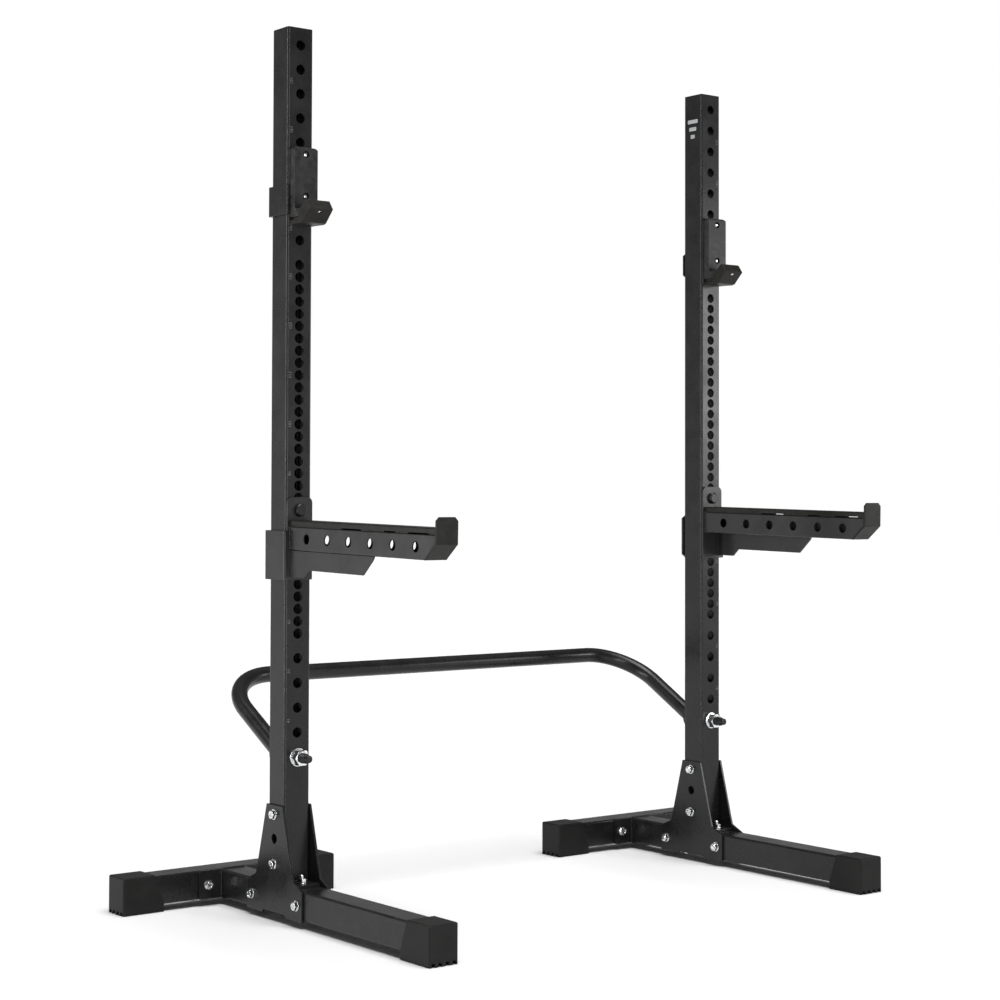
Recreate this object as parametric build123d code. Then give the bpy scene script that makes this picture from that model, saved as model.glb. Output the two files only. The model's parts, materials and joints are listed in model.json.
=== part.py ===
from build123d import *
import os

# Free-standing pair of squat-stand uprights with a rear U-bar, two J-hooks
# and two spotter arms.  Millimetres, +Z up, X across the pair, front is -Y.

# --- driving dimensions ------------------------------------------------
SPAN = 1152.0          # upright centre to upright centre
TUBE = 60.0            # square tube, outside
WALL = 3.0
CORNER = 5.0           # outside corner radius of the tube
FOOT_H = 14.0          # floor to the underside of the beams
PLATE = 6.0            # base plate and stem flange
HOLE1_Z = 1781.0       # top hole
TOP_ABOVE_HOLE1 = 33.0
HOLE_R = 10.5
COARSE = 50.0          # pitch of the top and bottom holes
FINE = 25.0            # pitch of the middle holes
N_TOP, N_MID, N_LOW = 10, 30, 4
STUD_R = 10.0
STUD_OUT = 47.0        # stud beyond the front of the upright
STUD_DOG_R, STUD_DOG = 7.5, 8.0
STUD_NUT_AF, STUD_NUT_T = 30.0, 18.0
STUD_WASHER_R, STUD_WASHER_T = 18.5, 4.0
STEM_FRONT = 531.0     # upright centre to the front end of the stem
STEM_REAR = 218.0      # upright centre to the stem flange
REAR_HALF = 254.0      # half the length of a rear beam
CAP_WALL = 3.0
CAP_TOP_L, CAP_BOT_L = 73.0, 94.0
CAP_STEP = 18.0
CAP_FIT = 0.3          # beam to the inside of its cap
GROOVE_W, GROOVE_H = 7.0, 7.0
TOP_CAP_T = 3.0
GUSSET_T = 5.0
GUSSET_TOP = 234.0
SPARE_R = 10.0         # empty hole halfway up the gussets
BOLT_R = 5.0
BOLT_FIT = 0.5         # bolt, stud or pin to its hole, on the radius
BOLT_AF = 16.0
HEAD_T = 6.5
NUT_T = 8.0
WASHER_R, WASHER_T = 10.5, 2.0
GUSSET_HI, GUSSET_LO, GUSSET_MID = 215.0, 115.0, 166.0
BASE_BOLT_END = 7.0    # thread left above a base-plate nut
UBAR_R = 17.5
UBAR_WALL = 2.5
UBAR_BACK = 280.0      # upright centre to the cross-run's centreline
UBAR_RISE = 140.0
UBAR_BEND = 125.0
BOSS_R, BOSS_L = 22.0, 12.0
HOOK_LEFT_HOLE, HOOK_RIGHT_HOLE = 6, 7
ARM_LEFT_HOLE, ARM_RIGHT_HOLE = 30, 29
HOOK_T = 6.0           # hook's front plate
HOOK_WRAP_T = 4.0      # hook's bent side plate
HOOK_UP, HOOK_DOWN = 40.0, 120.0
HOOK_WRAP_TOP, HOOK_WRAP_LOW = -38.0, -99.0
HOOK_PAD_W = 56.0
HOOK_PAD_T = 16.5
HOOK_SHELF_T = 6.0
SCREW_BORE_R, SCREW_BORE = 7.4, 6.0
SCREW_HEAD_R, SCREW_HEAD = 4.8, 2.6
ARM_T = 5.5            # arm's front plate
ARM_WRAP_T = 5.0
ARM_WRAP_TOP = -41.0
ARM_UP = 27.0
ARM_REACH = 541.0      # upright centre to the arm's front face
ARM_W = 50.0
ARM_H = 48.0
ARM_WALL = 3.0
ARM_TOP = -32.0        # top of the arm's box below its pin
ARM_PITCH, ARM_HOLE_1 = 75.0, 100.0
ARM_DROOP = 1.0        # degrees the arm hangs below level
ARM_PAD_T, ARM_PAD_GAP = 10.0, 2.5
STOP_T, STOP_UP = 5.0, 33.0
WEB_T, WEB_LEN, WEB_DROP = 5.0, 302.0, 54.0
PIN_HEAD_R, PIN_HEAD_T = 13.0, 8.0
GAP = 0.5              # moving bracket to upright

H = TUBE / 2
PIN_R = HOLE_R - BOLT_FIT
STEM_BOLT_Y = H + 55   # clear of the upright and its base plate
BASE_BOLT_Y = H + 20
BASE_HALF = BASE_BOLT_Y + 22
GUSSET_FOOT = STEM_BOLT_Y + 19
FLANGE_BOLT_X = H + 30
FLANGE_HALF = FLANGE_BOLT_X + 22
ARM_HOLES = 1 + int((ARM_REACH - 55 - ARM_HOLE_1) / ARM_PITCH)
BEAM_TOP = FOOT_H + TUBE
SEAT = BEAM_TOP + PLATE
TUBE_TOP = HOLE1_Z + TOP_ABOVE_HOLE1
parts = {}


# --- helpers ------------------------------------------------------------
def block(x0, x1, y0, y1, z0, z1):
    return Pos((x0 + x1) / 2, (y0 + y1) / 2, (z0 + z1) / 2) * Box(abs(x1 - x0), abs(y1 - y0), abs(z1 - z0))


def rod(r, a, b):
    a, b = Vector(*a), Vector(*b)
    return Plane(origin=a, z_dir=(b - a)) * Pos(0, 0, (b - a).length / 2) * Cylinder(r, (b - a).length)


def hexagon(af, a, b, bore=0.0):
    a, b = Vector(*a), Vector(*b)
    sk = RegularPolygon(af / 2, 6, major_radius=False)
    if bore:
        sk -= Circle(bore)
    return Plane(origin=a, z_dir=(b - a)) * extrude(sk, (b - a).length)


def ring(r_out, r_in, a, b):
    a, b = Vector(*a), Vector(*b)
    return Plane(origin=a, z_dir=(b - a)) * extrude(Circle(r_out) - Circle(r_in), (b - a).length)


def square_tube(length):
    sk = RectangleRounded(TUBE, TUBE, CORNER) - RectangleRounded(TUBE - 2 * WALL, TUBE - 2 * WALL, max(CORNER - WALL, 0.8))
    return extrude(sk, length)


def yz_prism(points, x0, x1):
    face = make_face(Polyline([(0, y, z) for y, z in points], close=True))
    return Pos(x0, 0, 0) * extrude(face, x1 - x0, dir=(1, 0, 0))


def xz_prism(points, y0, y1):
    face = make_face(Polyline([(x, 0, z) for x, z in points], close=True))
    return Pos(0, y0, 0) * extrude(face, y1 - y0, dir=(0, 1, 0))


def solids(*items):
    out = [solid for item in items for solid in item.solids()]
    return Compound(out) if len(out) > 1 else out[0]


def hole_z(n):
    if n <= N_TOP:
        return HOLE1_Z - COARSE * (n - 1)
    z = HOLE1_Z - COARSE * (N_TOP - 1)
    if n <= N_TOP + N_MID:
        return z - FINE * (n - N_TOP)
    return z - FINE * N_MID - COARSE * (n - N_TOP - N_MID)


STUD_Z = hole_z(N_TOP + N_MID + N_LOW) - COARSE


# --- one stand, outer side towards -X -----------------------------------
def foot():
    """Moulded cap for a beam end that points to -Y, end face at y = 0."""
    w = H + CAP_WALL
    top = BEAM_TOP + CAP_WALL
    body = yz_prism([(0, 0), (CAP_BOT_L, 0), (CAP_BOT_L, CAP_STEP), (CAP_TOP_L, top), (0, top)], -w, w)
    ends = body.edges().filter_by(Axis.Z).group_by(Axis.Y)[0]
    body = fillet(ends, 4.0)
    body = fillet(body.edges().filter_by(Axis.Y).group_by(Axis.Z)[-1], 4.0)
    body -= block(-H - CAP_FIT, H + CAP_FIT, CAP_WALL, CAP_BOT_L + 5, FOOT_H, BEAM_TOP + CAP_FIT + 0.1)
    for share in (-0.8, -0.27, 0.27, 0.8):
        x = share * H
        body -= block(x - GROOVE_W / 2, x + GROOVE_W / 2, -5, CAP_BOT_L + 5, -1, GROOVE_H)
    return body.solids()[0]


def stand():
    p = {}
    up = Pos(0, 0, SEAT) * square_tube(TUBE_TOP - SEAT)
    cut = [rod(HOLE_R, (0, -H - 5, hole_z(n)), (0, H + 5, hole_z(n))) for n in range(1, N_TOP + N_MID + N_LOW + 1)]
    cut.append(rod(STUD_R + BOLT_FIT, (0, -H - 5, STUD_Z), (0, H + 5, STUD_Z)))
    cut += [rod(BOLT_R + BOLT_FIT, (-H - 5, 0, z), (H + 5, 0, z)) for z in (GUSSET_HI, GUSSET_LO)]
    cut.append(rod(SPARE_R, (-H - 5, 0, GUSSET_MID), (H + 5, 0, GUSSET_MID)))
    p["upright"] = up - cut
    plug = TUBE - 2 * WALL - 0.8
    p["top_cap"] = (Pos(0, 0, TUBE_TOP) * extrude(RectangleRounded(TUBE, TUBE, CORNER), TOP_CAP_T)
                    + Pos(0, 0, TUBE_TOP - 18) * extrude(RectangleRounded(plug, plug, 2.0) - RectangleRounded(plug - 5, plug - 5, 1.0), 18))

    stem = Pos(0, STEM_REAR, FOOT_H + H) * Rot(90, 0, 0) * square_tube(STEM_REAR + STEM_FRONT)
    mid = FOOT_H + H
    stem -= [rod(BOLT_R + BOLT_FIT, (-H - 5, s * STEM_BOLT_Y, mid), (H + 5, s * STEM_BOLT_Y, mid)) for s in (-1, 1)]
    stem -= [rod(BOLT_R + BOLT_FIT, (0, s * BASE_BOLT_Y, 0), (0, s * BASE_BOLT_Y, BEAM_TOP + 5)) for s in (-1, 1)]
    p["stem"] = stem
    f0, f1 = STEM_REAR, STEM_REAR + PLATE
    flange = Plane(origin=(0, f1, mid), x_dir=(1, 0, 0), z_dir=(0, -1, 0)) * extrude(RectangleRounded(2 * FLANGE_HALF, TUBE, 5.0), PLATE)
    rear = Pos(-REAR_HALF, f1 + H, mid) * Rot(0, 90, 0) * square_tube(2 * REAR_HALF)
    drill = [rod(BOLT_R + BOLT_FIT, (s * FLANGE_BOLT_X, f0 - 5, mid), (s * FLANGE_BOLT_X, f1 + TUBE + 5, mid)) for s in (-1, 1)]
    p["stem_flange"] = flange - drill
    p["rear_beam"] = rear - drill

    low = FOOT_H - 2
    half = [(H, GUSSET_TOP), (H + 32, GUSSET_LO), (H + 40, SEAT + 8), (GUSSET_FOOT, SEAT - 8), (GUSSET_FOOT, low),
            (H + 15, low), (H + 10, low + 6)]
    outline = half + [(-y, z) for y, z in reversed(half)]
    for name, x0 in (("gusset_out", -H - GUSSET_T), ("gusset_in", H)):
        g = yz_prism(outline, x0, x0 + GUSSET_T)
        holes = [(0, GUSSET_HI), (0, GUSSET_LO), (-STEM_BOLT_Y, mid), (STEM_BOLT_Y, mid)]
        g -= [rod(BOLT_R + BOLT_FIT, (x0 - 2, y, z), (x0 + GUSSET_T + 2, y, z)) for y, z in holes]
        g -= rod(SPARE_R, (x0 - 2, 0, GUSSET_MID), (x0 + GUSSET_T + 2, 0, GUSSET_MID))
        p[name] = g
    base = block(-H, H, -BASE_HALF, BASE_HALF, BEAM_TOP, SEAT)
    base -= [rod(BOLT_R + BOLT_FIT, (0, s * BASE_BOLT_Y, BEAM_TOP - 2), (0, s * BASE_BOLT_Y, SEAT + 2)) for s in (-1, 1)]
    p["base_plate"] = base

    p["front_foot"] = Pos(0, -STEM_FRONT - CAP_WALL, 0) * foot()
    p["rear_foot_out"] = Pos(-REAR_HALF - CAP_WALL, f1 + H, 0) * Rot(0, 0, -90) * foot()
    p["rear_foot_in"] = Pos(REAR_HALF + CAP_WALL, f1 + H, 0) * Rot(0, 0, 90) * foot()

    # fasteners
    bolts, washers, nuts, flange_bolts, base_bolts = [], [], [], [], []
    gx = H + GUSSET_T
    for y, z in ((0, GUSSET_HI), (0, GUSSET_LO), (-STEM_BOLT_Y, mid), (STEM_BOLT_Y, mid)):
        washers += [ring(WASHER_R, BOLT_R + 0.3, (-gx - WASHER_T, y, z), (-gx, y, z)),
                    ring(WASHER_R, BOLT_R + 0.3, (gx, y, z), (gx + WASHER_T, y, z))]
        bolts.append(rod(BOLT_R, (-gx - WASHER_T, y, z), (gx + WASHER_T + NUT_T + 3, y, z))
                     + hexagon(BOLT_AF, (-gx - WASHER_T - HEAD_T, y, z), (-gx - WASHER_T, y, z)))
        nuts.append(hexagon(BOLT_AF, (gx + WASHER_T, y, z), (gx + WASHER_T + NUT_T, y, z), BOLT_R + 0.2))
    for s in (-1, 1):
        x = s * FLANGE_BOLT_X
        b = f1 + TUBE
        washers += [ring(WASHER_R, BOLT_R + 0.3, (x, f0 - WASHER_T, mid), (x, f0, mid)),
                    ring(WASHER_R, BOLT_R + 0.3, (x, b, mid), (x, b + WASHER_T, mid))]
        flange_bolts.append(rod(BOLT_R, (x, f0 - WASHER_T, mid), (x, b + WASHER_T + NUT_T + 3, mid))
                            + hexagon(BOLT_AF, (x, f0 - WASHER_T - HEAD_T, mid), (x, f0 - WASHER_T, mid)))
        nuts.append(hexagon(BOLT_AF, (x, b + WASHER_T, mid), (x, b + WASHER_T + NUT_T, mid), BOLT_R + 0.2))
        y = s * BASE_BOLT_Y
        top = SEAT + WASHER_T + NUT_T
        base_bolts.append(rod(BOLT_R, (0, y, FOOT_H - HEAD_T), (0, y, top + BASE_BOLT_END))
                          + hexagon(BOLT_AF, (0, y, FOOT_H - HEAD_T), (0, y, FOOT_H)))
        washers.append(ring(WASHER_R, BOLT_R + 0.3, (0, y, SEAT), (0, y, SEAT + WASHER_T)))
        nuts.append(hexagon(BOLT_AF, (0, y, SEAT + WASHER_T), (0, y, top), BOLT_R + 0.2))
    p["gusset_bolts"] = solids(*bolts)
    p["washers"] = solids(*washers)
    p["nuts"] = solids(*nuts)
    p["flange_bolts"] = solids(*flange_bolts)
    p["base_bolts"] = solids(*base_bolts)

    # threaded stud that holds the U-bar
    tip, face = -H - STUD_OUT, -H - STUD_WASHER_T
    p["stud"] = (rod(STUD_R, (0, tip + STUD_DOG, STUD_Z), (0, H + BOSS_L - 4, STUD_Z))
                 + rod(STUD_DOG_R, (0, tip, STUD_Z), (0, tip + STUD_DOG, STUD_Z)))
    p["stud_washer"] = ring(STUD_WASHER_R, STUD_R + 0.4, (0, face, STUD_Z), (0, -H, STUD_Z))
    p["stud_nut"] = hexagon(STUD_NUT_AF, (0, face - STUD_NUT_T, STUD_Z), (0, face, STUD_Z), STUD_R + 0.2)
    return p


# --- J-hook, pin centre at the origin, wraps round the -X side -----------
def hook():
    """Profiles are given as distance out from the plate's front, and height."""
    p = {}
    y0, y1 = -H - GAP - HOOK_T, -H - GAP
    half, deep = HOOK_PAD_W / 2, HOOK_PAD_T + 13
    shelf = -HOOK_DOWN + 8
    seat = shelf + HOOK_SHELF_T + 9

    def profile(points):
        return yz_prism([(y0 - d, z) for d, z in points], -half, half)

    plate = block(-H, H, y0, y1, -HOOK_DOWN, HOOK_UP)
    plate = fillet(plate.edges().filter_by(Axis.Y).group_by(Axis.Z)[-1], 8.0)
    x0, back = -H - 1, H + 1
    side = [(x0 - HOOK_WRAP_T, y0), (x0 - HOOK_WRAP_T, back + HOOK_WRAP_T), (H, back + HOOK_WRAP_T), (H, back), (x0, back),
            (x0, y1), (-H + 2, y1), (-H + 2, y0)]
    wrap = extrude(make_face(Polyline([(x, y, 0) for x, y in side], close=True)), HOOK_WRAP_TOP - HOOK_WRAP_LOW)
    wrap = Pos(0, 0, HOOK_WRAP_LOW) * wrap
    for z, s in ((HOOK_WRAP_TOP, 1), (HOOK_WRAP_LOW, -1)):
        wrap -= xz_prism([(H + 1, z + s), (H + 1, z - 8 * s), (H - 12, z + s)], H, back + HOOK_WRAP_T + 3)
    wrap = fillet(wrap.edges().filter_by(Axis.Z).sort_by(lambda e: e.center().X + abs(e.center().Y) * -1)[0:2], 2.5)
    body = plate + wrap
    body += block(4 - half, half - 4, y0 - deep, y1, shelf, shelf + HOOK_SHELF_T)
    p["hook_bracket"] = body
    liner = profile([(0, HOOK_UP - 2), (HOOK_PAD_T - 4, HOOK_UP - 2), (HOOK_PAD_T, HOOK_UP - 6), (HOOK_PAD_T, seat + 9),
                     (HOOK_PAD_T + 5, seat + 3), (deep, seat), (deep, shelf + HOOK_SHELF_T), (0, shelf + HOOK_SHELF_T)])
    corners = liner.edges().filter_by(Axis.Y).group_by(Axis.Z)[-1]
    liner = fillet(corners, 7.0)
    heights = (HOOK_UP - 17, -62)
    for z in heights:
        liner -= rod(SCREW_BORE_R, (0, y0 - HOOK_PAD_T - 1, z), (0, y0 - HOOK_PAD_T + SCREW_BORE, z))
        liner -= rod(2.9, (0, y0 - HOOK_PAD_T + 3, z), (0, y0 + 1, z))
    p["hook_liner"] = liner
    lip = profile([(deep, seat), (deep + 14, seat + 11), (deep + 27, seat + 22), (deep + 31, seat + 22), (deep + 44, seat + 4),
                   (deep + 18, shelf - 7), (deep + 10, shelf - 9), (0, shelf - 8), (0, shelf), (deep, shelf)])
    y, z = y0 - deep - 31, shelf + 15
    lip -= rod(2.8, (0, y - 7, z - 4), (0, y + 4, z + 7))
    p["hook_lip"] = lip
    screws = []
    for at in heights:
        seat_y = y0 - HOOK_PAD_T + SCREW_BORE
        screws.append(rod(SCREW_HEAD_R, (0, seat_y - SCREW_HEAD, at), (0, seat_y, at)) + rod(2.6, (0, seat_y, at), (0, y0, at)))
    screws.append(rod(2.5, (0, y - 5.2, z - 2.2), (0, y + 3.5, z + 6.5)))
    p["hook_screws"] = solids(*screws)
    p["hook_pin"] = rod(PIN_R, (0, y1, 0), (0, H - 6, 0))
    p["hook_pin"] = chamfer(p["hook_pin"].edges().sort_by(Axis.Y)[-1], 2.0)
    return p


# --- spotter arm, pin centre at the origin, wraps round the -X side -------
def arm():
    p = {}
    y0, y1 = -H - GAP - ARM_T, -H - GAP
    bottom = ARM_TOP - ARM_H
    foot_z = bottom - WEB_DROP - 7
    plate = block(-H, H, y0, y1, foot_z, ARM_UP)
    plate = fillet(plate.edges().filter_by(Axis.Y).group_by(Axis.Z)[-1], 12.0)
    x0, back = -H - 2, H + 4
    side = [(x0 - ARM_WRAP_T, y0), (x0 - ARM_WRAP_T, back + ARM_WRAP_T), (H, back + ARM_WRAP_T), (H, back), (x0, back),
            (x0, y1), (-H + 2, y1), (-H + 2, y0)]
    wrap = Pos(0, 0, foot_z) * extrude(make_face(Polyline([(x, y, 0) for x, y in side], close=True)), ARM_WRAP_TOP - foot_z)
    wrap = fillet(wrap.edges().filter_by(Axis.Z).sort_by(lambda e: e.center().X + abs(e.center().Y) * -1)[0:2], 3.5)
    for z, s in ((ARM_WRAP_TOP, 1), (foot_z, -1)):
        wrap -= xz_prism([(H + 1, z + s), (H + 1, z - 8 * s), (H - 12, z + s)], H, back + ARM_WRAP_T + 3)
    w = ARM_W / 2
    droop = Rot(ARM_DROOP, 0, 0)
    behind = block(-2 * TUBE, 2 * TUBE, y0, 2 * TUBE, foot_z - TUBE, ARM_UP + TUBE)
    web = [(-3, 0), (-3, WEB_DROP), (50, WEB_DROP), (67, WEB_DROP - 16), (WEB_LEN - 37, WEB_DROP - 16), (WEB_LEN - 5, 8), (WEB_LEN, 0)]
    web = droop * yz_prism([(y0 - d, bottom - drop) for d, drop in web], -w, -w + WEB_T) - behind
    p["arm_bracket"] = plate + wrap + web

    face = STOP_T - ARM_REACH
    end = [(0, ARM_TOP), (face, ARM_TOP), (face, ARM_TOP - 16), (face + 34, bottom), (0, bottom)]
    inner = [(0, ARM_TOP - ARM_WALL), (face - 14, ARM_TOP - ARM_WALL), (face - 14, bottom + ARM_WALL), (0, bottom + ARM_WALL)]
    beam = yz_prism(end, -w, w) - yz_prism(inner, ARM_WALL - w, w - ARM_WALL)
    for k in range(ARM_HOLES):
        y, z = -ARM_HOLE_1 - k * ARM_PITCH, ARM_TOP - ARM_H / 2
        beam -= rod(HOLE_R, (-w - 5, y, z), (w + 5, y, z))
    p["arm_beam"] = droop * beam - behind

    top = ARM_TOP + STOP_UP
    front = [(-ARM_REACH, top), (-ARM_REACH, ARM_TOP - 18), (face + 30, bottom), (face + 34, bottom), (face, ARM_TOP - 16), (face, top)]
    stop = yz_prism(front, -w, w)
    stop = chamfer(stop.edges().filter_by(Axis.Y).group_by(Axis.Z)[-1], 7.0)
    p["arm_stop"] = droop * stop

    a, b = 4.0 - y0, -face
    under = ARM_TOP + ARM_PAD_GAP
    liner = block(-w, w, -b, -a, under, under + ARM_PAD_T)
    liner = chamfer(liner.edges().filter_by(Axis.Y).group_by(Axis.Z)[-1], 1.5)
    open_spans = [(a + f0 * (b - a), a + f1 * (b - a)) for f0, f1 in ((0.37, 0.51), (0.665, 0.74), (0.825, 0.965))]
    last = a
    for s0, s1 in open_spans + [(b, b)]:
        liner += block(-w + 1, w - 1, -s0, -last, ARM_TOP, under)
        last = s1
    p["arm_liner"] = droop * liner

    pin = rod(PIN_R, (0, y1, 0), (0, H - 6, 0))
    pin = chamfer(pin.edges().sort_by(Axis.Y)[-1], 2.0)
    head = rod(PIN_HEAD_R, (0, y0 - PIN_HEAD_T, 0), (0, y0, 0))
    head = chamfer(head.edges().sort_by(Axis.Y)[0], 2.5)
    neck = rod(PIN_R - 2, (0, y0 - 1, 0), (0, y1 + 1, 0))
    p["arm_bracket"] -= rod(PIN_R - 2 + 0.3, (0, y0 - 1, 0), (0, y1 + 1, 0))
    p["arm_pin"] = pin + head + neck
    return p


# --- place everything -----------------------------------------------------
def add(group, suffix, x, z, flip):
    for name, shape in group.items():
        if flip:
            shape = mirror(shape, about=Plane.YZ)
        parts[name + suffix] = Pos(x, 0, z) * shape


one = stand()
add(one, "_l", -SPAN / 2, 0, False)
add(one, "_r", SPAN / 2, 0, True)
one = hook()
add(one, "_l", -SPAN / 2, hole_z(HOOK_LEFT_HOLE), False)
add(one, "_r", SPAN / 2, hole_z(HOOK_RIGHT_HOLE), True)
one = arm()
add(one, "_l", -SPAN / 2, hole_z(ARM_LEFT_HOLE), False)
add(one, "_r", SPAN / 2, hole_z(ARM_RIGHT_HOLE), True)

# rear U-bar: two rising legs and a cross-run
seat_y = H + BOSS_L
s = SPAN / 2
pts = [Vector(-s, H, STUD_Z), Vector(-s, UBAR_BACK, STUD_Z + UBAR_RISE),
       Vector(s, UBAR_BACK, STUD_Z + UBAR_RISE), Vector(s, H, STUD_Z)]
path = FilletPolyline(pts, radius=UBAR_BEND)
profile = Plane(origin=path @ 0, z_dir=path % 0) * (Circle(UBAR_R) - Circle(UBAR_R - UBAR_WALL))
ubar = sweep(profile, path=path)
ubar -= block(-s - 100, s + 100, -100, seat_y, 0, STUD_Z + 200)
parts["u_bar"] = ubar
bosses = []
for x in (-s, s):
    bosses.append(ring(BOSS_R, STUD_R + 0.3, (x, H, STUD_Z), (x, seat_y - 1.5, STUD_Z))
                  + ring(BOSS_R, 4.0, (x, seat_y - 1.5, STUD_Z), (x, seat_y, STUD_Z)))
parts["u_bar_bosses"] = solids(*bosses)

# origin: middle of the bounding box on the floor
box = solids(*parts.values()).bounding_box()
shift = Pos(-(box.min.X + box.max.X) / 2, -(box.min.Y + box.max.Y) / 2, -box.min.Z)

os.makedirs("parts", exist_ok=True)
for name, shape in parts.items():
    moved = solids(*[shift * solid for solid in shape.solids()])
    moved.label = name
    export_step(moved, "parts/" + name + ".step")
print(len(parts), "parts; shift", shift.position.Y, "size", box.size)
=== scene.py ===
"""Squat stand pair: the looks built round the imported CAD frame.

Every size is in metres unless its name ends in _mm.  The frame's X runs
across the pair, -Y points to the user and +Z is up.
"""

import json
import logging
import math
from dataclasses import dataclass, field
from enum import Enum

import bmesh
import bpy
from bmesh.types import BMesh, BMEdge, BMVert
from bpy.types import Material, Node, NodeTree, Object
from mathutils import Matrix, Vector

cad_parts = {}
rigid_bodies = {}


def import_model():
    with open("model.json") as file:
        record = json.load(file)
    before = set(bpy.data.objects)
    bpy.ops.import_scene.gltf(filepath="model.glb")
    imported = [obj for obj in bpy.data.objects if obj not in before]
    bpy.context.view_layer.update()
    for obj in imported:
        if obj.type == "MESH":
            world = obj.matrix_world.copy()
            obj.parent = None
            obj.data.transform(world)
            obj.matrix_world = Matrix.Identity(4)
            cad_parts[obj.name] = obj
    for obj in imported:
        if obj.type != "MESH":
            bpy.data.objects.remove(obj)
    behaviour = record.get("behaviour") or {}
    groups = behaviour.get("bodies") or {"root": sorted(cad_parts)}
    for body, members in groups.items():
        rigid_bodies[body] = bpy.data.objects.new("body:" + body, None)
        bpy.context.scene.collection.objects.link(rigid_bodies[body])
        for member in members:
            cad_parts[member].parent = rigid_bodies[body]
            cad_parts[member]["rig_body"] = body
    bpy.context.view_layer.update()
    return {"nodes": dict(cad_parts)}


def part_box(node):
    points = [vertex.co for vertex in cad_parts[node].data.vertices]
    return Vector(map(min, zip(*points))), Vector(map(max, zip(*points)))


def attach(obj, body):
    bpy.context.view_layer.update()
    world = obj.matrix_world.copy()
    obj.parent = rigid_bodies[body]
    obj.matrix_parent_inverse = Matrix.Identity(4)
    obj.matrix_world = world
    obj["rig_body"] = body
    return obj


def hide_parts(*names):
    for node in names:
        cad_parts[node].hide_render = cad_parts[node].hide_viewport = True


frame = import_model()

log = logging.getLogger("squat_stand")
MM = 0.001


class Side(Enum):
    """The two stands; the value is the suffix of their nodes."""

    LEFT = "_l"
    RIGHT = "_r"

    @property
    def out(self) -> int:
        """Sign of X that points away from the other stand."""
        return -1 if self is Side.LEFT else 1


# --- colour and node helpers -------------------------------------------------


def linear(hex_code: str) -> tuple[float, float, float, float]:
    """Turns an sRGB hex colour to linear RGBA.

    Args:
        hex_code: Six hex digits, such as "c8cacc".

    Returns:
        Red, green, blue and alpha in scene-linear values.
    """
    parts = [int(hex_code[i:i + 2], 16) / 255 for i in (0, 2, 4)]
    rgb = [c / 12.92 if c <= 0.04045 else ((c + 0.055) / 1.055) ** 2.4 for c in parts]
    return rgb[0], rgb[1], rgb[2], 1.0


def add_node(tree: NodeTree, kind: str, inputs: dict | None = None, **settings: object) -> Node:
    """Adds one node with its settings, values and links.

    Args:
        tree: Node tree that receives the node.
        kind: Blender's node type name.
        inputs: Input name or index to a value, or to the socket to link from.
        **settings: Attributes set on the node itself.

    Returns:
        The new node.
    """
    node = tree.nodes.new(kind)
    for name, value in settings.items():
        setattr(node, name, value)
    for key, value in (inputs or {}).items():
        if isinstance(value, bpy.types.NodeSocket):
            tree.links.new(value, node.inputs[key])
        else:
            node.inputs[key].default_value = value
    return node


# --- finishes ------------------------------------------------------------------


@dataclass(frozen=True)
class Finish:
    """One finish: what the surface is, and how its nodes are set.

    Attributes:
        name: Material's name, after the real one.
        slot: Material slot of the record that it stands for; not used.
        base: Main colour, sRGB hex.
        worn: Lighter or duller colour that the mottling mixes in.
        metallic: 0 for paint and plastic, 1 for bare metal.
        roughness: Roughness of the clean surface.
        rough_spread: How far the mottling changes the roughness.
        grain_mm: Size of the fine texture.
        grain_depth_mm: Height of the fine texture.
        mottle_mm: Size of the slow variation in tone.
        specular: Specular level.
    """

    name: str
    slot: str
    base: str
    worn: str
    metallic: float = 0.0
    roughness: float = 0.45
    rough_spread: float = 0.06
    grain_mm: float = 3.0
    grain_depth_mm: float = 0.05
    mottle_mm: float = 60.0
    specular: float = 0.5

    def material(self) -> Material:
        """Builds the node material, once.

        Returns:
            The new material, or the one already made.
        """
        made = bpy.data.materials.get(self.name)
        if made:
            return made
        mat = bpy.data.materials.new(self.name)
        mat.use_nodes = True
        tree = mat.node_tree
        tree.nodes.clear()
        where = add_node(tree, "ShaderNodeTexCoord").outputs["Object"]
        slow = add_node(tree, "ShaderNodeTexNoise",
                        {"Vector": where, "Scale": 1 / (self.mottle_mm * MM), "Detail": 4.0, "Roughness": 0.6})
        fine = add_node(tree, "ShaderNodeTexNoise",
                        {"Vector": where, "Scale": 1 / (self.grain_mm * MM), "Detail": 2.0, "Roughness": 0.5})
        tone = add_node(tree, "ShaderNodeMapRange",
                        {"Value": slow.outputs["Fac"], "From Min": 0.35, "From Max": 0.7,
                         "To Min": 0.0, "To Max": 1.0})
        colour = add_node(tree, "ShaderNodeMix",
                          {0: tone.outputs["Result"], 6: linear(self.base), 7: linear(self.worn)},
                          data_type="RGBA")
        rough = add_node(tree, "ShaderNodeMapRange",
                         {"Value": slow.outputs["Fac"], "From Min": 0.3, "From Max": 0.7,
                          "To Min": self.roughness - self.rough_spread,
                          "To Max": self.roughness + self.rough_spread})
        bump = add_node(tree, "ShaderNodeBump",
                        {"Height": fine.outputs["Fac"], "Strength": 1.0, "Distance": self.grain_depth_mm * MM})
        shader = add_node(tree, "ShaderNodeBsdfPrincipled",
                          {"Base Color": colour.outputs[2], "Metallic": self.metallic,
                           "Roughness": rough.outputs["Result"],
                           "Specular IOR Level": self.specular,
                           "Normal": bump.outputs["Normal"]})
        add_node(tree, "ShaderNodeOutputMaterial", {"Surface": shader.outputs["BSDF"]})
        return mat


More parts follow.
